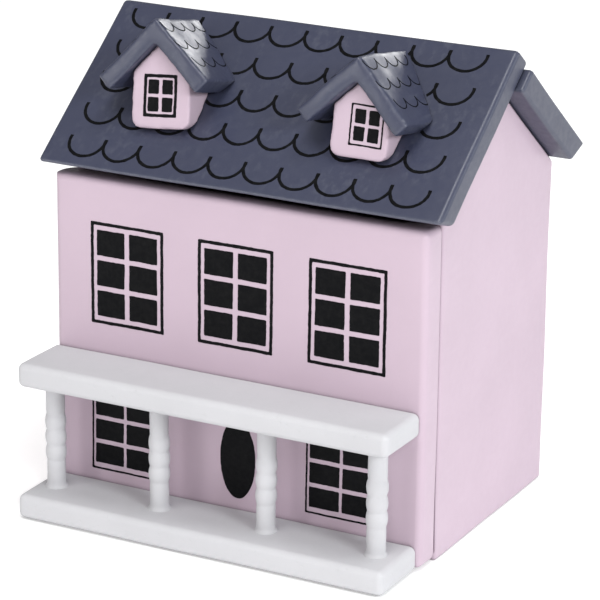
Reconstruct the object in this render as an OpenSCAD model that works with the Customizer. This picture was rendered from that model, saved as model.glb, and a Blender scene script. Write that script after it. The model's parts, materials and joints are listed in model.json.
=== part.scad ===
// Small painted wooden dollhouse. The whole front, with its porch, swings open on two hinges.
// Millimetres, +Z up. The origin is the centre of the house's underside and -Y is the front.

/* [House] */
// Width of the front panel
house_w = 125; // [120:1:130]
// How far the left wall stands in from the front panel's hinge edge
left_inset = 2.2; // [2:0.1:3]
// Depth of the house behind the front panel
house_d = 78; // [74:1:82]
// Thickness of the two side walls
wall_t = 8; // [6:0.5:9]
// Thickness of the back wall
back_t = 5; // [4:0.5:7]
// Thickness of the ground floor
ground_t = 6; // [5:0.5:8]
// Thickness of the middle floor
middle_t = 5; // [4:0.5:6]
// Height of the middle floor's underside
middle_z = 48; // [46:1:50]

/* [Roof] */
// Slope of both roof boards, in degrees
slope = 37.6; // [36:0.2:39]
// Height of the gable's peak, under the roof boards
peak_z = 136.3; // [135.5:0.1:138]
// How far the peak stands from the middle of the house's depth
peak_y = -1.8; // [-3:0.2:0]
// Thickness of the roof boards
roof_t = 8.4; // [7:0.2:9]
// Length of the front roof board's underside below the peak
front_run = 50.8; // [50:0.2:51]
// Length of the front roof board's underside past the peak
ridge_run = 11; // [10:0.5:12]
// Length of the back roof board's underside
back_run = 50; // [48:0.5:50]
// How much further the outer face reaches at both eaves, where the boards are cut at an angle
eave_lean = 5.8; // [5:0.2:6]
// How much shorter the front roof board's outer face is at the ridge
ridge_lean = 2.4; // [2:0.2:4]
// Overhang of the front roof board past both edges of the front panel
front_over = 4.7; // [4:0.1:6]
// Overhang of the back roof board past both edges of the front panel
back_over = 7; // [6:0.5:8]

/* [Front] */
// Thickness of the front panel
front_t = 10; // [9:0.5:11]
// Height of the front panel
front_h = 103.6; // [100:0.1:103.7]
// Clearance under the front panel
panel_gap = 1; // [0.5:0.1:1]
// Clearance under the porch
floor_gap = 0.5; // [0.3:0.1:1]
// Gap between the front panel and the house
seam = 0.4; // [0.3:0.1:0.6]
// Radius of the front panel's rear edge on the hinge side
edge_r = 6; // [4:0.5:7]

/* [Porch] */
// Underside of the porch roof
porch_roof_z = 42.6; // [40:0.2:44]
// Thickness of the porch roof
porch_roof_t = 7.5; // [6:0.5:8]
// Depth of the porch roof
porch_roof_d = 21.5; // [20:0.5:24]
// Thickness of the porch base
porch_base_t = 7.8; // [7:0.1:9]
// Depth of the porch base
porch_base_d = 22.6; // [20:0.2:24]
// How far the porch reaches past the front panel's hinge edge
porch_over = 0.8; // [0:0.1:1]
// How far the porch stops short of the front panel's opening edge
porch_inset = 1.4; // [0:0.2:3]
// Distance between the porch posts
post_pitch = 36.6; // [35:0.1:37]
// First post, from the front panel's hinge edge
post_first = 5.9; // [4:0.1:7]
// Posts' distance in front of the front panel
post_out = 10.4; // [9:0.2:12]
// Diameter of a post's plain ends
post_d = 5.8; // [5:0.1:7]
// Diameter of a post's beads
bead_d = 6.5; // [6.2:0.1:8]
// Distance between the beads
bead_pitch = 4.9; // [4:0.1:5]
// How far the middle bead is below the middle of a post
bead_drop = 0.9; // [0:0.1:2]

/* [Dormers] */
// Half of a dormer roof's width
dormer_half = 18.2; // [17:0.2:19]
// Thickness of a dormer roof's two slopes
dormer_t = 5.5; // [4.5:0.1:6.5]
// How far a dormer roof stands in front of its block
dormer_over = 3.4; // [2:0.2:5]
// Length of the left dormer's roof along its ridge
left_ridge = 30; // [28:0.5:32]
// Length of the right dormer's roof along its ridge
right_ridge = 33; // [28:0.5:34]
// Angle of a dormer roof's rear cut from square
dormer_cut = 27; // [20:1:35]

/* [Hinges] */
// Length of each hinge
hinge_l = 15; // [12:0.5:20]
// Radius of a hinge's barrel
barrel_r = 1.5; // [1.2:0.1:1.6]
// Radius of a hinge pin
pin_r = 0.6; // [0.5:0.05:0.8]
// Running clearance between pin and barrel
pin_gap = 0.05; // [0.03:0.01:0.08]
// Thickness of a hinge leaf
leaf_t = 0.8; // [0.6:0.1:1]
// Width of a hinge leaf beyond the barrel
leaf_w = 7; // [6:0.5:7]
// Heights of the middles of the two hinges
hinge_z = [22, 82];

/* [Catch] */
// Radius of the catch magnet and of its steel disc
magnet_r = 2.5; // [2:0.1:3]
// Depth of the magnet
magnet_d = 4; // [3:0.5:5]
// Depth of the steel disc
disc_d = 1.5; // [1:0.1:2]
// Height of the catch
catch_z = 92; // [85:1:95]

/* [Printing] */
// Thickness of the printed ink
ink = 0.1; // [0.05:0.05:0.15]
// Width of the ink line round the upper windows and along the roof's tiles
line_w = 1; // [0.5:0.05:1.2]
// Width of the ink line round the lower windows
thin_line_w = 0.6; // [0.4:0.05:1]
// Size of an upper window
upper_window = [25.3, 32.3];
// Size of a pane in an upper window
upper_pane = [9.7, 8.1];
// Size of a lower window
lower_window = [23.5, 26.5];
// Size of a pane in a lower window
lower_pane = [10, 6.5];
// Distance between the windows
window_pitch = 37.1; // [36:0.1:38]
// Underside of the upper windows
upper_z = 59.3; // [57:0.1:60]
// Underside of the lower windows
lower_z = 11.9; // [10:0.1:12]
// Width and height of the door's oval
oval = [12, 25.4];
// Columns of roof tiles
tile_cols = 10; // [9:1:10]
// Rows of roof tiles
tile_rows = 5; // [4:1:5]
// Width of a roof tile
tile_w = 11.96; // [11.5:0.02:12]
// Distance between the rows of tiles, along the slope
tile_pitch = 12.66; // [12.4:0.02:12.8]

/* [Hidden] */

$fn = 48;
eps = 0.01;
far = 200;

pink = [0.86, 0.76, 0.83];
slate = [0.29, 0.31, 0.39];
white_paint = [0.88, 0.87, 0.9];
black_ink = [0.02, 0.02, 0.025];
brass = [0.75, 0.6, 0.3];
steel = [0.6, 0.6, 0.62];

half_w = house_w / 2;
half_d = house_d / 2;
house_front_y = -half_d;
panel_back_y = house_front_y - seam;
panel_front_y = panel_back_y - front_t;
house_left = -half_w + left_inset;
inner_left = house_left + wall_t;
inner_right = half_w - wall_t;
room_w = inner_right - inner_left;
inner_back_y = half_d - back_t;
front_top_z = peak_z - (half_d + peak_y) * tan(slope);
back_top_z = peak_z - (half_d - peak_y) * tan(slope);

// Hinge axis, just outside the left wall and on the seam
wall_gap = 0.3;
axis_x = house_left - barrel_r - wall_gap;
axis_y = house_front_y - seam / 2;
knuckle_l = hinge_l / 3;
knuckle_gap = 0.15;
leaf_gap = wall_gap + 0.2;
leaf_x = axis_x + barrel_r + leaf_gap;
screw_r = 0.6;
screw_head_r = 1.05;
screw_l = 6;
screw_inset = 2.6;

// Turned posts
post_base_z = floor_gap + porch_base_t;
post_l = porch_roof_z - post_base_z;
porch_w = house_w + porch_over - porch_inset;
post_y = panel_front_y - post_out;

// Dormers: the front of the block's ridge, then turns about X, Y and Z as they were glued on
left_dormer = [-34.8, -33.5, 152.7];
left_turn = [-12.4, -4, 2.4];
right_dormer = [33.7, -35.7, 150.4];
right_turn = [-8.5, 0.9, 0];
// Blocks: width, middle from the ridge and underside
left_block = [19.2, 1.3, -33];
right_block = [18.4, 1.5, -30.2];
block_corner_r = 3;
// Dormer windows: middle from the ridge, underside, width, height and width of the ink line
left_window = [1.1, -29.5, 11, 12.6, 0.95];
right_window = [3.6, -26.5, 10.8, 12.2, 0.5];
dormer_pane = [3.5, 4.2];

// Roof tiles: the first row's tips, along the slope from the peak
tile_start = -45.3;
tile_r = 6.07;
tile_drop = 1.03;
tile_skew = -0.026;
small_tile_r = 3.5;
small_tile_start = 2.1;
small_tile_pitch = 7.05;
small_tiles = [4, 4, 3];
small_tile_y = [0.8, 0.4, 2.4];
small_line_w = 0.4;

// ---- shapes used more than once

// Board along X from a side outline in Y and Z, its left end at x
module board_x(outline, width, x) {
  translate([x, 0, 0])
    rotate([90, 0, 90])
      linear_extrude(width) polygon(outline);
}

// A point on the front slope, s up the slope from the peak and n out of it
function on_front(s, n) = [
  peak_y + s * cos(slope) - n * sin(slope),
  peak_z + s * sin(slope) + n * cos(slope)
];

// A point on the back slope, s down the slope from the peak and n out of it
function on_back(s, n) = [
  peak_y + s * cos(slope) + n * sin(slope),
  peak_z - s * sin(slope) + n * cos(slope)
];

// Everything above the front roof board's outer face
module above_front_roof() {
  translate([0, peak_y, peak_z])
    rotate([slope, 0, 0])
      translate([-far / 2, -far / 2, roof_t])
        cube([far, far, far]);
}

// Children stand on the front roof board's outer face: X across, Y up the slope
module on_front_roof() {
  translate([0, peak_y, peak_z])
    rotate([slope, 0, 0])
      translate([0, 0, roof_t])
        children();
}

module at_dormer(place, turn) {
  translate(place)
    rotate([0, 0, turn[2]])
      rotate([turn[0], 0, 0])
        rotate([0, turn[1], 0])
          children();
}

// ---- the house

module side_wall(x) {
  board_x([
    [-half_d, 0],
    [half_d, 0],
    [half_d, back_top_z],
    [peak_y, peak_z],
    [-half_d, front_top_z]
  ], wall_t, x);
}

module ground_floor() {
  color(pink)
    translate([inner_left, house_front_y, 0])
      cube([room_w, house_d - back_t, ground_t]);
}

module middle_floor() {
  color(pink)
    translate([inner_left, house_front_y, middle_z])
      cube([room_w, house_d - back_t, middle_t]);
}

module back_wall() {
  inner_top_z = peak_z - (inner_back_y - peak_y) * tan(slope);
  color(pink)
    board_x([
      [inner_back_y, 0],
      [half_d, 0],
      [half_d, back_top_z],
      [inner_back_y, inner_top_z]
    ], room_w, inner_left);
}

module left_wall() {
  color(pink)
    difference() {
      side_wall(house_left);
      for (z = hinge_z) {
        leaf_recess(z, house_front_y - eps);
        screw_pair(z, house_front_y, 1, screw_r);
      }
    }
}

module right_wall() {
  color(pink)
    difference() {
      side_wall(inner_right);
      translate([half_w - wall_t / 2, house_front_y - eps, catch_z])
        rotate([-90, 0, 0]) cylinder(r = magnet_r, h = magnet_d + eps);
    }
}

// ---- the roof

module front_roof_board() {
  color(slate)
    board_x([
      on_front(-front_run, 0),
      on_front(-front_run - eave_lean, roof_t),
      on_front(ridge_run - ridge_lean, roof_t),
      on_front(ridge_run, 0)
    ], house_w + 2 * front_over, -half_w - front_over);
}

// Butts against the underside of the front roof board, past the peak
module back_roof_board() {
  butt = roof_t / tan(2 * slope);
  color(slate)
    board_x([
      [peak_y, peak_z],
      on_back(butt, roof_t),
      on_back(back_run + eave_lean, roof_t),
      on_back(back_run, 0)
    ], house_w + 2 * back_over, -half_w - back_over);
}

// ---- the dormers

// One lower corner's rounding, to take away: side is -1 at the left and 1 at the right
module block_corner(x, z, side) {
  r = block_corner_r;
  difference() {
    translate([side > 0 ? x - r : x - eps, z - eps]) square(r + eps);
    translate([x - side * r, z + r]) circle(r = r);
  }
}

// Block before it's fitted to the board: its gable fits under the dormer roof
module dormer_block_stick(block) {
  gable_z = -dormer_t / cos(45);
  left = block[1] - block[0] / 2;
  right = block[1] + block[0] / 2;
  rotate([90, 0, 0])
    translate([0, 0, -far / 4])
      linear_extrude(far / 4)
        difference() {
          polygon([
            [left, block[2]],
            [right, block[2]],
            [right, gable_z - right],
            [0, gable_z],
            [left, gable_z + left]
          ]);
          block_corner(left, block[2], -1);
          block_corner(right, block[2], 1);
        }
}

// Everything behind a dormer roof's rear cut, moved forward by an inset
module behind_dormer_cut(ridge, inset) {
  translate([0, ridge - dormer_over - inset, 0])
    rotate([-dormer_cut, 0, 0])
      translate([-far / 2, 0, -far / 2])
        cube([far, far, far]);
}

// Roof before it's fitted to the board: two slopes at a right angle, cut back below the ridge
module dormer_roof_stick(ridge) {
  t = dormer_t * sin(45);
  difference() {
    translate([0, ridge - dormer_over, 0])
      rotate([90, 0, 0])
        linear_extrude(ridge)
          polygon([
            [0, 0],
            [dormer_half, -dormer_half],
            [dormer_half - t, -dormer_half - t],
            [0, -dormer_t / cos(45)],
            [-dormer_half + t, -dormer_half - t],
            [-dormer_half, -dormer_half]
          ]);
    behind_dormer_cut(ridge, 0);
  }
}

module dormer_block(place, turn, block) {
  color(pink)
    intersection() {
      at_dormer(place, turn) dormer_block_stick(block);
      above_front_roof();
    }
}

module dormer_roof(place, turn, ridge) {
  color(slate)
    intersection() {
      at_dormer(place, turn) dormer_roof_stick(ridge);
      above_front_roof();
    }
}

module left_dormer_block() { dormer_block(left_dormer, left_turn, left_block); }
module left_dormer_roof() { dormer_roof(left_dormer, left_turn, left_ridge); }
module right_dormer_block() { dormer_block(right_dormer, right_turn, right_block); }
module right_dormer_roof() { dormer_roof(right_dormer, right_turn, right_ridge); }

// ---- the front

module front_panel_outline() {
  difference() {
    translate([-half_w, panel_front_y]) square([house_w, front_t]);
    difference() {
      translate([-half_w - eps, panel_back_y - edge_r]) square([edge_r + eps, edge_r + eps]);
      translate([-half_w + edge_r, panel_back_y - edge_r]) circle(r = edge_r);
    }
  }
}

module front_panel() {
  color(pink)
    difference() {
      translate([0, 0, panel_gap]) linear_extrude(front_h) front_panel_outline();
      for (z = hinge_z) {
        leaf_recess(z, panel_back_y - leaf_t);
        screw_pair(z, panel_back_y, -1, screw_r);
      }
      translate([half_w - wall_t / 2, panel_back_y + eps, catch_z])
        rotate([90, 0, 0]) cylinder(r = magnet_r, h = disc_d + eps);
    }
}

module porch_slab(depth, thickness, z) {
  translate([-half_w - porch_over, panel_front_y - depth, z])
    cube([porch_w, depth, thickness]);
}

module porch_roof() { color(white_paint) porch_slab(porch_roof_d, porch_roof_t, porch_roof_z); }
module porch_base() { color(white_paint) porch_slab(porch_base_d, porch_base_t, floor_gap); }

// Turned post: plain ends and three soft beads in the middle
module post_outline() {
  bead_r = bead_d / 2;
  bead_h = bead_pitch * 0.92;
  round_r = (bead_h * bead_h / 4 + 0.6 * 0.6) / (2 * 0.6);
  square([post_d / 2, post_l]);
  intersection() {
    for (i = [-1 : 1])
      translate([bead_r - round_r, post_l / 2 - bead_drop + i * bead_pitch])
        circle(r = round_r);
    translate([post_d / 2 - 0.5, 0]) square([bead_r, post_l]);
  }
}

module porch_post(index) {
  x = -half_w + post_first + index * post_pitch;
  color(white_paint)
    translate([x, post_y, post_base_z])
      rotate_extrude() post_outline();
}

module porch_post_1() { porch_post(0); }
module porch_post_2() { porch_post(1); }
module porch_post_3() { porch_post(2); }
module porch_post_4() { porch_post(3); }

// ---- the hinges

// One knuckle round the hinge axis, with the arm that joins it to its leaf
module knuckle(z, arm_y) {
  arm_x = leaf_gap + barrel_r;
  translate([axis_x, axis_y, z]) {
    cylinder(r = barrel_r, h = knuckle_l - 2 * knuckle_gap);
    translate([0, arm_y - axis_y, 0])
      cube([arm_x + eps, leaf_t, knuckle_l - 2 * knuckle_gap]);
  }
}

// Plate of one leaf, clear of the barrel
module leaf_plate(z, plate_y) {
  translate([leaf_x, plate_y, z - hinge_l / 2 + knuckle_gap])
    cube([leaf_w, leaf_t, hinge_l - 2 * knuckle_gap]);
}

module hinge_bore(z) {
  translate([axis_x, axis_y, z - hinge_l])
    cylinder(r = pin_r + pin_gap, h = 2 * hinge_l);
}

// The house leaf has the two outer knuckles and the front leaf the middle one
module house_leaf(z) {
  color(brass)
    difference() {
      union() {
        leaf_plate(z, house_front_y);
        for (k = [-1.5, 0.5]) knuckle(z + k * knuckle_l + knuckle_gap, house_front_y);
      }
      hinge_bore(z);
      screw_pair(z, house_front_y, 1, screw_r);
    }
}

module front_leaf(z) {
  color(brass)
    difference() {
      union() {
        leaf_plate(z, panel_back_y - leaf_t);
        knuckle(z - knuckle_l / 2 + knuckle_gap, panel_back_y - leaf_t);
      }
      hinge_bore(z);
      screw_pair(z, panel_back_y, -1, screw_r);
    }
}

// Recess for a leaf in the edge it's screwed to
module leaf_recess(z, y) {
  translate([house_left - eps, y, z - hinge_l / 2])
    cube([leaf_x + leaf_w - house_left + 2 * eps, leaf_t + eps, hinge_l]);
}

module hinge_pin(z) {
  color(steel)
    translate([axis_x, axis_y, z - hinge_l / 2 - 0.3]) {
      cylinder(r = pin_r, h = hinge_l + 0.3);
      cylinder(r = barrel_r * 0.8, h = 0.3 + knuckle_gap);
    }
}

module upper_hinge_house_leaf() { house_leaf(hinge_z[1]); }
module upper_hinge_front_leaf() { front_leaf(hinge_z[1]); }
module upper_hinge_pin() { hinge_pin(hinge_z[1]); }
module lower_hinge_house_leaf() { house_leaf(hinge_z[0]); }
module lower_hinge_front_leaf() { front_leaf(hinge_z[0]); }
module lower_hinge_pin() { hinge_pin(hinge_z[0]); }

// Two countersunk screws into a leaf at height z: dir is 1 into the house and -1 into the front
module screw_pair(z, face_y, dir, shank_r) {
  screw_x = leaf_x + leaf_w - screw_inset;
  for (dz = [-hinge_l / 4, hinge_l / 4])
    translate([screw_x, face_y, z + dz])
      rotate([-90 * dir, 0, 0]) {
        cylinder(r = shank_r, h = screw_l);
        cylinder(r1 = screw_head_r, r2 = shank_r, h = leaf_t * 0.6);
      }
}

module house_hinge_screws() {
  color(brass)
    for (z = hinge_z) screw_pair(z, house_front_y, 1, screw_r);
}

module front_hinge_screws() {
  color(brass)
    for (z = hinge_z) screw_pair(z, panel_back_y, -1, screw_r);
}

// ---- the catch

module catch_magnet() {
  color(steel)
    translate([half_w - wall_t / 2, house_front_y, catch_z])
      rotate([-90, 0, 0]) cylinder(r = magnet_r, h = magnet_d);
}

module catch_disc() {
  color(steel)
    translate([half_w - wall_t / 2, panel_back_y, catch_z])
      rotate([90, 0, 0]) cylinder(r = magnet_r, h = disc_d);
}

// ---- the printing

// A printed window in X and Z, its lower left corner at the origin: a frame line and a grid of panes
module window_print(size, pane, grid, line) {
  gap_x = (size[0] - grid[0] * pane[0]) / (grid[0] + 1.6);
  gap_z = (size[1] - grid[1] * pane[1]) / (grid[1] + 2.2);
  margin_x = (size[0] - grid[0] * pane[0] - (grid[0] - 1) * gap_x) / 2;
  margin_z = (size[1] - grid[1] * pane[1] - (grid[1] - 1) * gap_z) / 2;
  rotate([90, 0, 0])
    linear_extrude(ink) {
      difference() {
        square(size);
        translate([line, line]) square([size[0] - 2 * line, size[1] - 2 * line]);
      }
      for (i = [0 : grid[0] - 1])
        for (j = [0 : grid[1] - 1])
          translate([margin_x + i * (pane[0] + gap_x), margin_z + j * (pane[1] + gap_z)])
            square(pane);
    }
}

module upper_window_prints() {
  color(black_ink)
    for (i = [-1 : 1])
      translate([i * window_pitch - upper_window[0] / 2, panel_front_y, upper_z])
        window_print(upper_window, upper_pane, [2, 3], line_w);
}

// The lower windows line up with the left edges of the upper ones
module lower_window_prints() {
  color(black_ink)
    for (i = [-1, 1])
      translate([i * window_pitch - upper_window[0] / 2 - 0.2, panel_front_y, lower_z])
        window_print(lower_window, lower_pane, [2, 3], thin_line_w);
}

module door_print() {
  points = 48;
  color(black_ink)
    translate([1.1, panel_front_y, lower_z + oval[1] / 2 - 0.2])
      rotate([90, 0, 0])
        linear_extrude(ink)
          polygon([
            for (a = [0 : 360 / points : 359.9])
              [oval[0] / 2 * cos(a), oval[1] / 2 * sin(a)]
          ]);
}

// The roof's edge covers whatever it overlaps of the print
module dormer_window_print(place, turn, ridge, window) {
  color(black_ink)
    at_dormer(place, turn)
      difference() {
        translate([window[0] - window[2] / 2, 0, window[1]])
          window_print([window[2], window[3]], dormer_pane, [2, 2], window[4]);
        dormer_roof_stick(ridge);
      }
}

module left_dormer_window_print() {
  dormer_window_print(left_dormer, left_turn, left_ridge, left_window);
}

module right_dormer_window_print() {
  dormer_window_print(right_dormer, right_turn, right_ridge, right_window);
}

// One printed tile: an arc that hangs from two tips, a tile's width apart
module tile_arc(r, line, tip_drop) {
  translate([0, -tip_drop, 0])
    intersection() {
      difference() {
        cylinder(r = r + line / 2, h = ink);
        translate([0, 0, -ink]) cylinder(r = r - line / 2, h = 3 * ink);
      }
      translate([-2 * r, tip_drop - 4 * r, -ink]) cube([4 * r, 4 * r, 3 * ink]);
    }
}

module roof_tile_print() {
  color(black_ink)
    difference() {
      on_front_roof()
        for (row = [0 : tile_rows - 1])
          for (col = [0 : tile_cols - 1])
            translate([
              (col - (tile_cols - 1) / 2) * tile_w + row * tile_pitch * tile_skew,
              tile_start + row * tile_pitch,
              0
            ])
              tile_arc(tile_r, line_w, tile_drop);
      at_dormer(left_dormer, left_turn) {
        dormer_block_stick(left_block);
        dormer_roof_stick(left_ridge);
      }
      at_dormer(right_dormer, right_turn) {
        dormer_block_stick(right_block);
        dormer_roof_stick(right_ridge);
      }
    }
}

// Three rows of small tiles on each slope of a dormer roof, cut off with the roof's rear
module dormer_tile_print(place, turn, ridge) {
  color(black_ink)
    at_dormer(place, turn)
      difference() {
        for (side = [-1, 1])
          rotate([0, side * 45, 0])
            for (row = [0 : len(small_tiles) - 1])
              for (col = [0 : small_tiles[row] - 1])
                translate([
                  side * (small_tile_start + row * small_tile_pitch),
                  small_tile_y[row] + col * 2 * small_tile_r,
                  0
                ])
                  rotate([0, 0, side * 90])
                    tile_arc(small_tile_r, small_line_w, 0);
        behind_dormer_cut(ridge, 0.3);
      }
}

module left_dormer_tile_print() { dormer_tile_print(left_dormer, left_turn, left_ridge); }
module right_dormer_tile_print() { dormer_tile_print(right_dormer, right_turn, right_ridge); }

ground_floor();
left_wall();
right_wall();
back_wall();
middle_floor();
front_roof_board();
back_roof_board();
left_dormer_block();
left_dormer_roof();
right_dormer_block();
right_dormer_roof();
front_panel();
porch_roof();
porch_base();
porch_post_1();
porch_post_2();
porch_post_3();
porch_post_4();
upper_hinge_house_leaf();
upper_hinge_front_leaf();
upper_hinge_pin();
lower_hinge_house_leaf();
lower_hinge_front_leaf();
lower_hinge_pin();
house_hinge_screws();
front_hinge_screws();
catch_magnet();
catch_disc();
upper_window_prints();
lower_window_prints();
door_print();
left_dormer_window_print();
right_dormer_window_print();
roof_tile_print();
left_dormer_tile_print();
right_dormer_tile_print();
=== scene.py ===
"""Looks of a small painted wooden dollhouse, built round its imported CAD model."""

import json
import math

import bmesh
import bpy
from mathutils import Matrix, Vector, noise
from mathutils.bvhtree import BVHTree


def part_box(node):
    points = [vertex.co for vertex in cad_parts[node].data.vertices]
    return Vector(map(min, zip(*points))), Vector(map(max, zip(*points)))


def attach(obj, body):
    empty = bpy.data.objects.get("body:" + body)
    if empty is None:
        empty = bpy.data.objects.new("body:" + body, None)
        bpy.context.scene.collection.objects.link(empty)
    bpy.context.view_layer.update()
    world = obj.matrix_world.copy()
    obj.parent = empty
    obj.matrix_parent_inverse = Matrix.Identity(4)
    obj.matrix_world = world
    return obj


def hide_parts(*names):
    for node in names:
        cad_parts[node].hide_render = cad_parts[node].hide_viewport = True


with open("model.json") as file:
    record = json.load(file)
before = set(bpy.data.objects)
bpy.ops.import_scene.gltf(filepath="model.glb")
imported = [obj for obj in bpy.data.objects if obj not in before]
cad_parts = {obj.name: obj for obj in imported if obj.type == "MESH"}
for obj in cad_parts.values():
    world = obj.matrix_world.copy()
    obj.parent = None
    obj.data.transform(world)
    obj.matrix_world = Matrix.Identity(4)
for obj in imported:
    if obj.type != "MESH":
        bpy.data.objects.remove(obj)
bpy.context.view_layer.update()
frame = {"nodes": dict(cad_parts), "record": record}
NODES = frame["nodes"]
SLOT_OF = {row["node"]: row["material_slot"] for row in frame["record"]["subparts"]}
BODY_OF = {
    node: body
    for body, nodes in frame["record"]["behaviour"]["bodies"].items()
    for node in nodes
}
MM = 0.001

# ---------------------------------------------------------------- camera

CAMERA_AZIMUTH = math.radians(27.7)
CAMERA_ELEVATION = math.radians(18.37)
CAMERA_ROLL = math.radians(0.65)
CAMERA_DISTANCE = 934.4 * MM
CAMERA_TARGET = Vector((-4.57, 0.6, 59.4)) * MM
# Lens and sensor in millimetres, reach in metres
CAMERA_LENS = 180.0
CAMERA_SENSOR = 36.0
CAMERA_REACH = 20.0


def make_camera():
    """A long lens, from the right of the front and a little above."""
    cos_e = math.cos(CAMERA_ELEVATION)
    back = Vector((
        math.sin(CAMERA_AZIMUTH) * cos_e,
        -math.cos(CAMERA_AZIMUTH) * cos_e,
        math.sin(CAMERA_ELEVATION),
    ))
    level = (-back).cross(Vector((0, 0, 1))).normalized()
    upright = level.cross(-back)
    right = level * math.cos(CAMERA_ROLL) + upright * math.sin(CAMERA_ROLL)
    up = upright * math.cos(CAMERA_ROLL) - level * math.sin(CAMERA_ROLL)
    data = bpy.data.cameras.new("camera")
    data.lens = CAMERA_LENS
    data.sensor_width = CAMERA_SENSOR
    data.clip_end = CAMERA_REACH
    camera = bpy.data.objects.new("camera", data)
    turn = Matrix((right, up, back)).transposed().to_4x4()
    place = Matrix.Translation(CAMERA_TARGET + back * CAMERA_DISTANCE)
    camera.matrix_world = place @ turn
    bpy.context.scene.collection.objects.link(camera)
    bpy.context.scene.camera = camera


# ---------------------------------------------------------------- materials

# Noise scales, in features per metre
BROAD_SCALE = 35
PATCH_SCALE = 60
RIPPLE_SCALE = 160
TARNISH_SCALE = 300
FINE_SCALE = 420
STREAK_SCALE = 520
FILM_SCALE = 700
PIT_SCALE = 800
GRIT_SCALE = 1500
# How much of the fine detail the noise keeps
PLAIN_ROUGHNESS = 0.55
BUSY_ROUGHNESS = 0.6
PIT_ROUGHNESS = 0.4
# The stretches of a noise's values over which each effect sets in
WHOLE_NOISE = (0.3, 0.7)
STREAK_ONSET = (0.5, 0.75)
PATCH_ONSET = (0.42, 0.66)
GRIT_ONSET = (0.62, 0.8)
PIT_ONSET = (0.66, 0.76)
BREAK_ONSET = (0.35, 0.65)
HAZE_ONSET = (0.4, 0.75)
STAIN_ONSET = (0.45, 0.7)
# The same for an edge's pointiness, for edges lightened partly by wear and partly as a
# painted highlight, and for a seam's openness, for seams darkened as painted shade
EDGE_WEAR_AND_SHEEN_ONSET = (0.52, 0.6)
SEAM_SHADE_ONSET = (0.2, 0.68)
STREAK_SLANT = (math.radians(40), math.radians(35), 0)
STREAK_STRETCH = (1, 0.12, 1)
# Painted shade: seams and crevices are darkened by ambient occlusion within this reach
SEAM_SHADE_REACH = 2.5 * MM
SEAM_SHADE_SAMPLES = 6
SEAM_SHADE_STRENGTH = 0.85
GRIT_AMOUNT = 0.5
# Edges are lightened partly by real wear and partly as a painted highlight; this is the least
# of it in any spot
LEAST_EDGE_WEAR_AND_SHEEN = 0.4
# Shades of the paint's own colour, and the darkening that seams get as painted shade
MOTTLE_DARK = 0.97
MOTTLE_LIGHT = 1.03
GRIT_SHADE = 0.9
PAINTED_SHADE_FACTOR = 0.35
# Relief: heights in the surface, and strengths
RIPPLE_HEIGHT = 0.12 * MM
FINE_HEIGHT = 0.04 * MM
PIT_DEPTH = 0.08 * MM
FILM_HEIGHT = 0.02 * MM
ROLLING_HEIGHT = 0.01 * MM
FINE_RELIEF = 0.6
FILM_RELIEF = 0.3
ROLLING_RELIEF = 0.15
INK_SPECULAR = 0.06
INK_ROUGH = (0.4, 0.6)
# How far roughness strays to either side of a paint's, and above a metal's
PAINT_SMOOTHER = 0.05
PAINT_ROUGHER = 0.07
METAL_ROUGHER = 0.15
# The Mix node has several sockets of each name; these are its colours
MIX_FIRST = 6
MIX_SECOND = 7
MIX_RESULT = 2


def new_material(name):
    """A material, its node tree and its Principled shader."""
    material = bpy.data.materials.new(name)
    material.use_nodes = True
    tree = material.node_tree
    return material, tree, tree.nodes["Principled BSDF"]


def object_place(tree):
    """The object's own coordinates."""
    return tree.nodes.new("ShaderNodeTexCoord").outputs["Object"]


def noise_node(tree, coordinates, scale, detail=3, rough=PLAIN_ROUGHNESS):
    """Noise over these coordinates, from 0 to 1."""
    node = tree.nodes.new("ShaderNodeTexNoise")
    node.inputs["Scale"].default_value = scale
    node.inputs["Detail"].default_value = detail
    node.inputs["Roughness"].default_value = rough
    tree.links.new(coordinates, node.inputs["Vector"])
    return node.outputs["Fac"]


def remap(tree, value, span, new_low, new_high):
    """A value moved from one span into another, and held within it."""
    node = tree.nodes.new("ShaderNodeMapRange")
    node.inputs["From Min"].default_value = span[0]
    node.inputs["From Max"].default_value = span[1]
    node.inputs["To Min"].default_value = new_low
    node.inputs["To Max"].default_value = new_high
    tree.links.new(value, node.inputs["Value"])
    return node.outputs["Result"]


def multiply(tree, first, second):
    """The product of two outputs."""
    node = tree.nodes.new("ShaderNodeMath")
    node.operation = "MULTIPLY"
    tree.links.new(first, node.inputs[0])
    tree.links.new(second, node.inputs[1])
    return node.outputs[0]


def mix_colour(tree, factor, first, second):
    """Two colours, mixed by a factor; each is a colour or another node's output."""
    node = tree.nodes.new("ShaderNodeMix")
    node.data_type = "RGBA"
    tree.links.new(factor, node.inputs["Factor"])
    for index, colour in ((MIX_FIRST, first), (MIX_SECOND, second)):
        if isinstance(colour, bpy.types.NodeSocket):
            tree.links.new(colour, node.inputs[index])
        else:
            node.inputs[index].default_value = (*colour, 1.0)
    return node.outputs[MIX_RESULT]


def bump(tree, shader, height, strength, distance):
    """Relief on the surface, on top of the relief that the shader already has."""
    node = tree.nodes.new("ShaderNodeBump")
    node.inputs["Strength"].default_value = strength
    node.inputs["Distance"].default_value = distance
    tree.links.new(height, node.inputs["Height"])
    before = shader.inputs["Normal"]
    if before.is_linked:
        tree.links.new(before.links[0].from_socket, node.inputs["Normal"])
    tree.links.new(node.outputs["Normal"], before)


def shade(colour, factor):
    """A colour made lighter or darker."""
    return tuple(min(1.0, c * factor) for c in colour)


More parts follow.
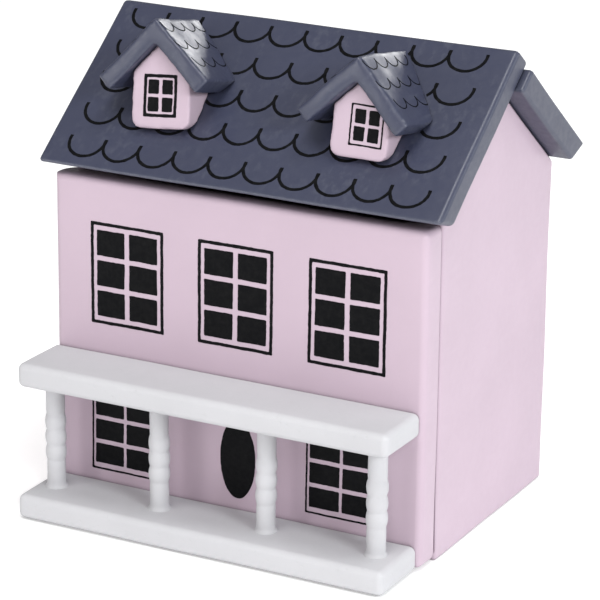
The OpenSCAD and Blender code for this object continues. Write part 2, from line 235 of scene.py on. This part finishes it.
def rubbed(tree, place, amount):
    """Faint slanting streaks in patches, left by sanding and rubbing."""
    slant = tree.nodes.new("ShaderNodeMapping")
    slant.inputs["Rotation"].default_value = STREAK_SLANT
    slant.inputs["Scale"].default_value = STREAK_STRETCH
    tree.links.new(place, slant.inputs["Vector"])
    streaks = noise_node(tree, slant.outputs["Vector"], STREAK_SCALE)
    patches = noise_node(tree, place, PATCH_SCALE, 2)
    return multiply(
        tree,
        remap(tree, streaks, STREAK_ONSET, 0, amount),
        remap(tree, patches, PATCH_ONSET, 0, 1),
    )


def painted_seam_shade(tree):
    """How deep a place lies in a narrow seam or crevice, where the paint is darkened as
    painted shade.
    """
    node = tree.nodes.new("ShaderNodeAmbientOcclusion")
    node.samples = SEAM_SHADE_SAMPLES
    node.inputs["Distance"].default_value = SEAM_SHADE_REACH
    return remap(tree, node.outputs["AO"], SEAM_SHADE_ONSET, SEAM_SHADE_STRENGTH, 0)


def edge_wear_and_highlight(tree, fine, wear):
    """How much a place on an edge is lightened, partly as real wear and partly as a painted
    highlight, more in some spots than in others.
    """
    edge = tree.nodes.new("ShaderNodeNewGeometry").outputs["Pointiness"]
    return multiply(
        tree,
        remap(tree, edge, EDGE_WEAR_AND_SHEEN_ONSET, 0, wear),
        remap(tree, fine, BREAK_ONSET, LEAST_EDGE_WEAR_AND_SHEEN, 1),
    )


def paint_colour(tree, place, fine, colour, worn_and_lit, wear, streaks):
    """Mottled and speckled paint, rubbed in streaks, lightened on edges partly by wear and
    partly as a painted highlight, darkened in seams as painted shade.
    """
    broad = remap(tree, noise_node(tree, place, BROAD_SCALE), WHOLE_NOISE, 0, 1)
    mottled = mix_colour(tree, broad, shade(colour, MOTTLE_DARK), shade(colour, MOTTLE_LIGHT))
    grit = remap(tree, noise_node(tree, place, GRIT_SCALE, 2), GRIT_ONSET, 0, GRIT_AMOUNT)
    speckled = mix_colour(tree, grit, mottled, shade(colour, GRIT_SHADE))
    streaked = mix_colour(tree, rubbed(tree, place, streaks), speckled, worn_and_lit)
    # Edges lightened towards the worn colour, partly real wear and partly a painted highlight
    edges_lightened = mix_colour(tree, edge_wear_and_highlight(tree, fine, wear), streaked, worn_and_lit)
    # Painted shade: seams and crevices are darkened towards a deep shade of the paint
    return mix_colour(tree, painted_seam_shade(tree), edges_lightened, shade(colour, PAINTED_SHADE_FACTOR))


def paint(name, colour, worn_and_lit, rough, wear, specular, relief, streaks, pits):
    """Thick satin paint on sanded wood, faintly rippled and pitted."""
    material, tree, shader = new_material(name)
    place = object_place(tree)
    fine = noise_node(tree, place, FINE_SCALE, 4, BUSY_ROUGHNESS)
    coat = paint_colour(tree, place, fine, colour, worn_and_lit, wear, streaks)
    uneven = remap(tree, fine, WHOLE_NOISE, rough - PAINT_SMOOTHER, rough + PAINT_ROUGHER)
    holes = noise_node(tree, place, PIT_SCALE, 2, PIT_ROUGHNESS)
    tree.links.new(coat, shader.inputs["Base Color"])
    tree.links.new(uneven, shader.inputs["Roughness"])
    shader.inputs["Specular IOR Level"].default_value = specular
    bump(tree, shader, noise_node(tree, place, RIPPLE_SCALE), relief, RIPPLE_HEIGHT)
    bump(tree, shader, fine, relief * FINE_RELIEF, FINE_HEIGHT)
    bump(tree, shader, remap(tree, holes, PIT_ONSET, 1, 0), pits, PIT_DEPTH)
    return material


def ink_material(name, colour, haze):
    """Silk-screened ink: nearly black, with a dry, uneven film."""
    material, tree, shader = new_material(name)
    film = noise_node(tree, object_place(tree), FILM_SCALE, 4, BUSY_ROUGHNESS)
    hazy = mix_colour(tree, remap(tree, film, HAZE_ONSET, 0, 1), colour, haze)
    uneven = remap(tree, film, WHOLE_NOISE, *INK_ROUGH)
    tree.links.new(hazy, shader.inputs["Base Color"])
    tree.links.new(uneven, shader.inputs["Roughness"])
    shader.inputs["Specular IOR Level"].default_value = INK_SPECULAR
    bump(tree, shader, film, FILM_RELIEF, FILM_HEIGHT)
    return material


def metal(name, colour, stain, rough):
    """Drawn or rolled metal with faint tarnish."""
    material, tree, shader = new_material(name)
    place = object_place(tree)
    tarnish = noise_node(tree, place, TARNISH_SCALE, 4)
    stained = mix_colour(tree, remap(tree, tarnish, STAIN_ONSET, 0, 1), colour, stain)
    uneven = remap(tree, tarnish, WHOLE_NOISE, rough, rough + METAL_ROUGHER)
    tree.links.new(stained, shader.inputs["Base Color"])
    tree.links.new(uneven, shader.inputs["Roughness"])
    shader.inputs["Metallic"].default_value = 1.0
    rolling = noise_node(tree, place, GRIT_SCALE, 2)
    bump(tree, shader, rolling, ROLLING_RELIEF, ROLLING_HEIGHT)
    return material


# Each paint's worn colour serves for rubbed streaks and for edges lightened partly by wear
# and partly as a painted highlight
MATERIALS = {
    "pink_paint": paint(
        "pink_paint", (0.48, 0.377, 0.448), worn_and_lit=(0.56, 0.46, 0.53),
        rough=0.45, wear=0.12, specular=0.35, relief=0.25, streaks=0.1, pits=0.1,
    ),
    "roof_paint": paint(
        "roof_paint", (0.0348, 0.0394, 0.0714), worn_and_lit=(0.17, 0.18, 0.21),
        rough=0.38, wear=0.45, specular=0.6, relief=0.35, streaks=0.2, pits=0.1,
    ),
    "white_paint": paint(
        "white_paint", (0.50, 0.497, 0.517), worn_and_lit=(0.55, 0.545, 0.565),
        rough=0.6, wear=0.2, specular=0.3, relief=0.55, streaks=0.2, pits=0.6,
    ),
    "ink": ink_material("ink", (0.003, 0.0032, 0.004), (0.008, 0.008, 0.0085)),
    "hinge_brass": metal(
        "hinge_brass", (0.75, 0.52, 0.2), stain=(0.45, 0.3, 0.13), rough=0.28,
    ),
    "hinge_steel": metal(
        "hinge_steel", (0.55, 0.55, 0.56), stain=(0.35, 0.34, 0.33), rough=0.25,
    ),
    "magnet_nickel": metal(
        "magnet_nickel", (0.62, 0.6, 0.57), stain=(0.5, 0.48, 0.45), rough=0.15,
    ),
    "disc_steel": metal(
        "disc_steel", (0.5, 0.5, 0.5), stain=(0.36, 0.35, 0.34), rough=0.3,
    ),
}


# ---------------------------------------------------------------- mesh tools

# Corners of the CAD meshes closer than this are one corner
SAME_POINT = 0.001 * MM
# Faces that turn less than this are one flat face
FLAT_ANGLE = math.radians(0.5)
CORNER_ANGLE = math.radians(20)
# Large faces rule the shading of the small ones beside them
LARGE_FACES_RULE = 100
WANDER_SCALE = 32 * MM
WANDER_SIZE = 0.22 * MM
# Far apart in the noise, so that x, y and z stray on their own
WANDER_SHIFTS = (Vector((11.3, 0, 0)), Vector((0, 27.1, 0)), Vector((0, 0, 43.7)))


def wander(point, scale=WANDER_SCALE, size=WANDER_SIZE, seed=0.0):
    """A small smooth offset that differs from place to place, as hand sanding leaves."""
    p = Vector(point) / scale + Vector((seed, 2 * seed, -seed))
    return size * Vector([noise.noise(p + shift) for shift in WANDER_SHIFTS])


def cad_copy(node):
    """The CAD node's shape as an editable mesh with whole flat faces."""
    bm = bmesh.new()
    bm.from_mesh(NODES[node].data)
    bmesh.ops.remove_doubles(bm, verts=bm.verts, dist=SAME_POINT)
    bmesh.ops.dissolve_limit(bm, angle_limit=FLAT_ANGLE, verts=bm.verts, edges=bm.edges)
    bm.normal_update()
    return bm


def sharp(edge):
    """Whether two faces meet at a real corner here."""
    return len(edge.link_faces) == 2 and edge.calc_face_angle() > CORNER_ANGLE


def round_over(bm, edges, radius, segments, clamp=True):
    """Sanded edges. Clamped, the radius shrinks where edges leave no room for it."""
    if edges:
        bmesh.ops.bevel(
            bm, geom=edges, offset=radius, offset_type="OFFSET", segments=segments,
            profile=0.5, affect="EDGES", clamp_overlap=clamp,
        )
        bm.normal_update()


def slice_up(bm, step):
    """Cuts large faces into cells, so that they can bend."""
    for axis in range(3):
        low = min(v.co[axis] for v in bm.verts)
        high = max(v.co[axis] for v in bm.verts)
        count = max(1, math.ceil((high - low) / step))
        normal = Vector([1.0 if i == axis else 0.0 for i in range(3)])
        for i in range(1, count):
            at = normal * (low + (high - low) * i / count)
            geometry = list(bm.verts) + list(bm.edges) + list(bm.faces)
            bmesh.ops.bisect_plane(
                bm, geom=geometry, plane_co=at, plane_no=normal, dist=SAME_POINT / 2,
            )


def make_piece(name, bm, node, flat_shading=False):
    """A finished piece that stands for a CAD node, on its body and in its material."""
    mesh = bpy.data.meshes.new(name)
    bm.to_mesh(mesh)
    bm.free()
    for polygon in mesh.polygons:
        polygon.use_smooth = not flat_shading
    piece = bpy.data.objects.new(name, mesh)
    bpy.context.scene.collection.objects.link(piece)
    mesh.materials.append(MATERIALS[SLOT_OF[node]])
    if not flat_shading:
        weigh = piece.modifiers.new("even_normals", "WEIGHTED_NORMAL")
        weigh.keep_sharp = True
        weigh.weight = LARGE_FACES_RULE
    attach(piece, BODY_OF[node])
    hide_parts(node)
    return piece


# ---------------------------------------------------------------- boards

HINGE_AXIS = Vector(frame["record"]["behaviour"]["joints"][0]["pos_m"][:2])
# The cut-outs for the hinge leaves end within this of the hinge axis
HINGE_ROOM = 9.6 * MM
SHORTEST_ROUNDED = 4.5 * MM
REAR_FACE_DEPTH = 0.01 * MM
# The outline of a rear face lies within this of the board's extremes
RIM = 0.8 * MM
BOARD_CELL = 6 * MM
BOARD_SEGMENTS = 4
REAR_SEGMENTS = 2
# Radius of each board's sanded edges, and that of its rear edges where it has its own
BOARD_RADII = {
    "ground_floor": (0.8 * MM,),
    "middle_floor": (0.8 * MM,),
    "back_wall": (0.8 * MM,),
    "left_wall": (1.2 * MM,),
    "right_wall": (1.2 * MM,),
    "front_panel": (2.2 * MM, 1.2 * MM),
    "porch_roof": (2.0 * MM, 0.5 * MM),
    "porch_base": (2.0 * MM, 0.5 * MM),
    "front_roof_board": (1.5 * MM,),
    "back_roof_board": (1.2 * MM,),
}
# Finished wooden surfaces by CAD node, for the ink to lie on
SURFACES = {}


def by_hinge(vertex):
    """Whether a point lies beside the hinges, where boards are cut for the leaves."""
    return (vertex.co.xy - HINGE_AXIS).length < HINGE_ROOM


def long_sharp(bm):
    """Corner edges, leaving out small cuts, curves and the hinges' side."""
    return [
        e for e in bm.edges
        if sharp(e) and e.calc_length() > SHORTEST_ROUNDED
        and not all(map(by_hinge, e.verts))
    ]


def rear_plane(bm):
    """Points with a larger y than this lie on the rearmost face."""
    return max(v.co.y for v in bm.verts) - REAR_FACE_DEPTH


def rear_edges(bm):
    """The outline of the rearmost face, without its holes and the hinges' side."""
    rear_y = rear_plane(bm)
    limits = [
        (axis, pick(v.co[axis] for v in bm.verts)) for axis in (0, 2) for pick in (min, max)
    ]

    def on_rim(v):
        near_edge = min(abs(v.co[axis] - limit) for axis, limit in limits) < RIM
        return v.co.y > rear_y and near_edge and not by_hinge(v)

    return [e for e in bm.edges if sharp(e) and all(map(on_rim, e.verts))]


def board(node, radius, rear_radius=None):
    """A sanded and painted board, after its CAD node.

    With a rear radius, the edges round the rear face get that one instead.
    """
    bm = cad_copy(node)
    edges = long_sharp(bm)
    if rear_radius:
        rear_y = rear_plane(bm)
        edges = [e for e in edges if min(v.co.y for v in e.verts) < rear_y]
    round_over(bm, edges, radius, BOARD_SEGMENTS)
    if rear_radius:
        round_over(bm, rear_edges(bm), rear_radius, REAR_SEGMENTS, clamp=False)
    slice_up(bm, BOARD_CELL)
    for v in bm.verts:
        v.co += wander(v.co)
    SURFACES[node] = BVHTree.FromBMesh(bm)
    make_piece(node + "_painted", bm, node)


def make_boards():
    """Every board, before the prints that lie on them."""
    for node, radii in BOARD_RADII.items():
        board(node, *radii)


# ---------------------------------------------------------------- dormers

VOXEL = 0.42 * MM
LUMP_SCALE = 9 * MM
LUMP_SEED = 5.0
DORMER_FACES_KEPT = 0.4
# Rounds of smoothing, and size of the uneven spots that hand sanding left
DORMERS = {
    "left_dormer_block": (14, 0.2 * MM),
    "right_dormer_block": (14, 0.2 * MM),
    "left_dormer_roof": (38, 0.4 * MM),
    "right_dormer_roof": (60, 0.4 * MM),
}


def worn_round(bm, smoothing):
    """The shape with every edge worn round, by remeshing and smoothing it."""
    mesh = bpy.data.meshes.new("raw")
    bm.to_mesh(mesh)
    bm.free()
    holder = bpy.data.objects.new("raw", mesh)
    bpy.context.scene.collection.objects.link(holder)
    remesh = holder.modifiers.new("remesh", "REMESH")
    remesh.mode = "VOXEL"
    remesh.voxel_size = VOXEL
    smooth = holder.modifiers.new("smooth", "SMOOTH")
    smooth.iterations = smoothing
    result = bmesh.new()
    result.from_object(holder, bpy.context.evaluated_depsgraph_get())
    bpy.data.objects.remove(holder)
    bpy.data.meshes.remove(mesh)
    return result


def carved(node, smoothing, unevenness):
    """A small hand-sanded block, after its CAD node."""
    bm = worn_round(cad_copy(node), smoothing)
    for v in bm.verts:
        v.co += wander(v.co) + wander(v.co, LUMP_SCALE, unevenness, LUMP_SEED)
    SURFACES[node] = BVHTree.FromBMesh(bm)
    piece = make_piece(node + "_painted", bm, node)
    thin = piece.modifiers.new("fewer_faces", "DECIMATE")
    thin.ratio = DORMER_FACES_KEPT


def make_dormers():
    """Both dormers' blocks and roofs."""
    for node, wear in DORMERS.items():
        carved(node, *wear)


# ---------------------------------------------------------------- posts

POST_COUNT = 4
POST_R = 2.9 * MM
BEAD_R = 3.25 * MM
GROOVE_R = 2.8 * MM
BEAD_PITCH = 4.9 * MM
BEAD_DROP = 0.9 * MM
PAINT_FILLET = 0.9 * MM
FILLET_REACH = 0.4 * MM
GLUED_IN = 0.3 * MM
POST_RINGS = 84
POST_SIDES = 56
# Beads lie within this many pitches of the middle, and then the plain dowel begins
BEAD_COUNT_HALF = 1.5
BEAD_ROUNDNESS = 0.8
PLAIN_RAMP = 0.3
# Lumps in the paint: size across and height
POST_LUMPS = ((2.6 * MM, 0.07 * MM), (7 * MM, 0.06 * MM))


def post_radius(z, height):
    """Plain ends, three soft beads in the middle, and paint run into both corners."""
    beads_away = abs(z - height / 2 + BEAD_DROP) / BEAD_PITCH
    from_crown = 2 * (beads_away - round(beads_away))
    swell = math.cos(from_crown * math.pi / 2) ** BEAD_ROUNDNESS
    bead = GROOVE_R + (BEAD_R - GROOVE_R) * swell
    to_plain = min(1.0, max(0.0, (beads_away - BEAD_COUNT_HALF) / PLAIN_RAMP))
    plain = GROOVE_R + (POST_R - GROOVE_R) * to_plain
    corner = max(0.0, min(z, height - z))
    turned = bead if beads_away < BEAD_COUNT_HALF else plain
    return turned + PAINT_FILLET * math.exp(-corner / FILLET_REACH)


def post_ring(bm, centre, radius):
    """One ring of points round a post, a little lumpy."""
    ring = []
    for side in range(POST_SIDES):
        turn = 2 * math.pi * side / POST_SIDES
        spoke = Vector((math.cos(turn), math.sin(turn), 0))
        point = centre + spoke * radius
        lump = sum(height * noise.noise(point / across) for across, height in POST_LUMPS)
        ring.append(bm.verts.new(point + spoke * lump))
    return ring


def turned_post(node):
    """A lathe-turned dowel under thick paint."""
    low, high = (Vector(corner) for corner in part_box(node))
    height = high.z - low.z
    bm = bmesh.new()
    rings = []
    for k in range(POST_RINGS + 1):
        z = -GLUED_IN + (height + 2 * GLUED_IN) * k / POST_RINGS
        centre = Vector(((low.x + high.x) / 2, (low.y + high.y) / 2, low.z + z))
        rings.append(post_ring(bm, centre, post_radius(z, height)))
    for below, above in zip(rings, rings[1:]):
        for side in range(POST_SIDES):
            after = (side + 1) % POST_SIDES
            bm.faces.new((below[side], below[after], above[after], above[side]))
    bm.faces.new(list(reversed(rings[0])))
    bm.faces.new(rings[-1])
    for v in bm.verts:
        v.co += wander(v.co)
    make_piece(node + "_turned", bm, node)


def make_posts():
    """All the porch's posts."""
    for i in range(POST_COUNT):
        turned_post(f"porch_post_{i + 1}")


# ---------------------------------------------------------------- printing

PRINTED_ON = {
    "upper_window_prints": "front_panel",
    "lower_window_prints": "front_panel",
    "door_print": "front_panel",
    "left_dormer_window_print": "left_dormer_block",
    "right_dormer_window_print": "right_dormer_block",
    "roof_tile_print": "front_roof_board",
    "left_dormer_tile_print": "left_dormer_roof",
    "right_dormer_tile_print": "right_dormer_roof",
}
INK_CELL = 0.8 * MM
INK_RAGGED = 0.11 * MM
# Unevenness of the print's edges: size across and seed
INK_WAVES = ((0.9 * MM, 3.0), (5 * MM, 7.0))
INK_HEIGHT = 0.06 * MM
INK_SUNK = 0.02 * MM
# The CAD prints are 0.1 mm thick: their outer side is farther than the first from the
# wood, and the edges through them are shorter than the second
INK_RAISED_FROM = 0.05 * MM
INK_THICKEST = 0.2 * MM
INK_CORNER = 0.3 * MM
INK_CORNER_ANGLE = math.radians(50)
INK_SEGMENTS = 2


def through_edges(bm):
    """Short edges through the thickness of a print, at its corners."""
    return [
        e for e in bm.edges
        if len(e.link_faces) == 2 and e.calc_length() < INK_THICKEST
        and e.calc_face_angle() > INK_CORNER_ANGLE
    ]


def cad_surface(node):
    """The CAD node's surface, to find the nearest point on."""
    bm = cad_copy(node)
    surface = BVHTree.FromBMesh(bm)
    bm.free()
    return surface


def raggedness(point):
    """How far the ink's edge strays here."""
    fine, coarse = (wander(point, across, INK_RAGGED, seed) for across, seed in INK_WAVES)
    return fine + coarse


def print_ink(node, wood):
    """Ink that lies on the painted wood, with the uneven edges of a silk screen."""
    plain_surface = cad_surface(wood)
    bm = cad_copy(node)
    round_over(bm, through_edges(bm), INK_CORNER, INK_SEGMENTS)
    slice_up(bm, INK_CELL)
    for v in bm.verts:
        _, _, _, from_wood = plain_surface.find_nearest(v.co)
        strayed = v.co + wander(v.co) + raggedness(v.co)
        place, normal, _, _ = SURFACES[wood].find_nearest(strayed)
        v.co = place + normal * (INK_HEIGHT if from_wood > INK_RAISED_FROM else -INK_SUNK)
    make_piece(node + "_ink", bm, node, flat_shading=True)


def make_prints():
    """All the windows, the door's oval and the tiles."""
    for node, wood in PRINTED_ON.items():
        print_ink(node, wood)


# ---------------------------------------------------------------- small metal parts

METAL_NODES = (
    "upper_hinge_house_leaf", "upper_hinge_front_leaf", "upper_hinge_pin",
    "lower_hinge_house_leaf", "lower_hinge_front_leaf", "lower_hinge_pin",
    "house_hinge_screws", "front_hinge_screws", "catch_magnet", "catch_disc",
)


def clad(node):
    """A CAD node that keeps its shape gets its slot's material."""
    mesh = NODES[node].data
    mesh.materials.clear()
    mesh.materials.append(MATERIALS[SLOT_OF[node]])


def clad_metal_parts():
    """The hinges, their pins and screws, and the catch."""
    for node in METAL_NODES:
        clad(node)


# ---------------------------------------------------------------- studio

WORLD_STRENGTH = 0.3
FLOOR_HALF_SIDE = 20.0
# A faint glow of its own keeps the floor white
FLOOR_GLOW = 0.3
FLOOR_COLOUR = (0.93, 0.93, 0.93, 1)
FLOOR_ROUGHNESS = 0.9
FLOOR_SPECULAR = 0.1
WHITE = (1, 1, 1, 1)
LAMPS_AIM = Vector((0, 0, 70)) * MM
# For each lamp: azimuth in degrees from the front (positive to the right), elevation
# in degrees, distance and size in metres, and power in watts
SOFTBOXES = {
    "front_left": (-30, 12, 1.3, (0.3, 0.3), 2.2),
    "left": (-35, 32, 1.3, (0.4, 0.3), 1.2),
    "front": (25, 22, 1.3, (0.4, 0.3), 2.0),
    "right": (62, 25, 1.3, (0.4, 0.3), 9.0),
    "behind": (183, 15, 1.3, (0.35, 0.25), 3.1),
    "far_right": (115, 20, 1.3, (0.35, 0.3), 1.9),
    "front_high": (5, 58, 1.4, (0.5, 0.4), 4.8),
    "right_high": (60, 74, 1.4, (0.5, 0.4), 7.0),
}
# The other lamps are white
LAMP_TINTS = {
    "right": (0.96, 0.99, 1.0),
    "far_right": (0.93, 0.98, 1.0),
    "left": (1.0, 0.98, 0.96),
    "front": (1.0, 0.98, 0.96),
    "front_high": (1.0, 0.98, 0.96),
}


def softbox(name, azimuth, elevation, distance, size, power):
    """A rectangular lamp that faces the middle of the house."""
    data = bpy.data.lights.new(name, "AREA")
    data.shape = "RECTANGLE"
    data.size, data.size_y = size
    data.energy = power
    data.color = LAMP_TINTS.get(name, WHITE[:3])
    lamp = bpy.data.objects.new(name, data)
    around, up = math.radians(azimuth), math.radians(elevation)
    direction = Vector((
        math.sin(around) * math.cos(up),
        -math.cos(around) * math.cos(up),
        math.sin(up),
    ))
    lamp.location = LAMPS_AIM + direction * distance
    lamp.rotation_mode = "QUATERNION"
    lamp.rotation_quaternion = direction.to_track_quat("Z", "Y")
    bpy.context.scene.collection.objects.link(lamp)


def make_floor():
    """A plain pale floor, seen to its horizon."""
    bm = bmesh.new()
    bmesh.ops.create_grid(bm, x_segments=1, y_segments=1, size=FLOOR_HALF_SIDE)
    mesh = bpy.data.meshes.new("floor")
    bm.to_mesh(mesh)
    bm.free()
    floor = bpy.data.objects.new("floor", mesh)
    material, _, shader = new_material("floor")
    shader.inputs["Base Color"].default_value = FLOOR_COLOUR
    shader.inputs["Emission Color"].default_value = WHITE
    shader.inputs["Emission Strength"].default_value = FLOOR_GLOW
    shader.inputs["Roughness"].default_value = FLOOR_ROUGHNESS
    shader.inputs["Specular IOR Level"].default_value = FLOOR_SPECULAR
    mesh.materials.append(material)
    bpy.context.scene.collection.objects.link(floor)


def make_studio():
    """An even pale surround, softboxes and the floor."""
    scene = bpy.context.scene
    scene.view_settings.view_transform = "Standard"
    world = bpy.data.worlds.new("studio")
    scene.world = world
    world.use_nodes = True
    background = world.node_tree.nodes["Background"]
    background.inputs["Color"].default_value = WHITE
    background.inputs["Strength"].default_value = WORLD_STRENGTH
    for name, setting in SOFTBOXES.items():
        softbox(name, *setting)
    make_floor()


make_camera()
make_boards()
make_dormers()
make_posts()
make_prints()
clad_metal_parts()
make_studio()
